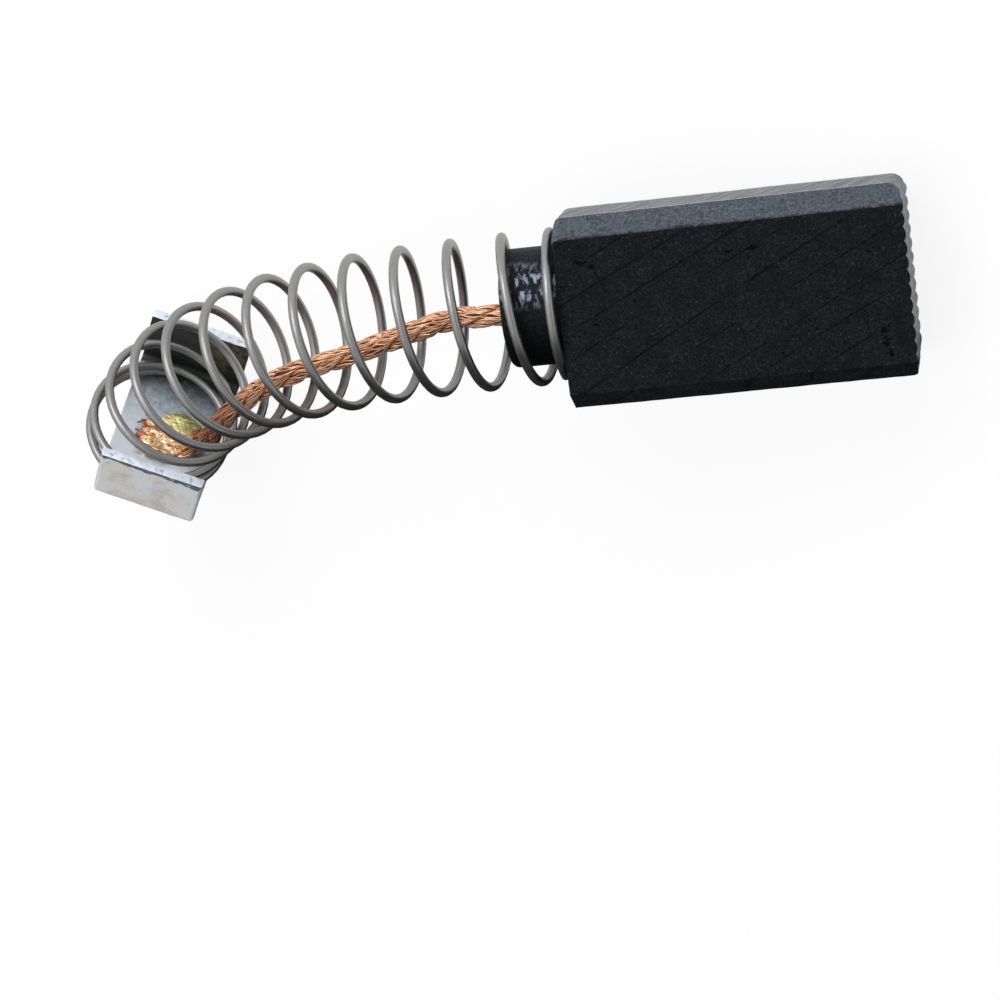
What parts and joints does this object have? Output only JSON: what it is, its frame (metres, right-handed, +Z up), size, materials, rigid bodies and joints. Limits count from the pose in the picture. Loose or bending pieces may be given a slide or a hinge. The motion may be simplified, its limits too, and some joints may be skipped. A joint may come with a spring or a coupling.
{
  "type": "carbon brush",
  "caption": "Rectangular carbon brush with a round spigot, a bent pressure spring and a copper shunt lead welded to a folded channel terminal.",
  "frame": {"origin": "middle of the wear face of the carbon block, level with the crests of its ridges", "axes": "+X from the spring to the wear face as seen from above, +Y across the block's width towards the edge that the spring bends away from, +Z up as the part lies unheld on its wear edge and the lower corner of the terminal"},
  "size_m": [0.0535, 0.0177, 0.0154],
  "materials": {
    "carbon": "matt pressed carbon with fine pits",
    "tamping_powder": "matt tamped powder",
    "copper_rope": "bare stranded copper",
    "spring_steel": "satin drawn wire",
    "plated_sheet": "dull zinc-plated sheet",
    "filler": "solidified filler"
  },
  "bodies": {
    "root": {"carbon_block": "carbon", "tamping_plug": "tamping_powder", "shunt_lead": "copper_rope", "pressure_spring": "spring_steel", "terminal_cap": "plated_sheet", "braze_filler": "filler"}
  },
  "joints": []
}
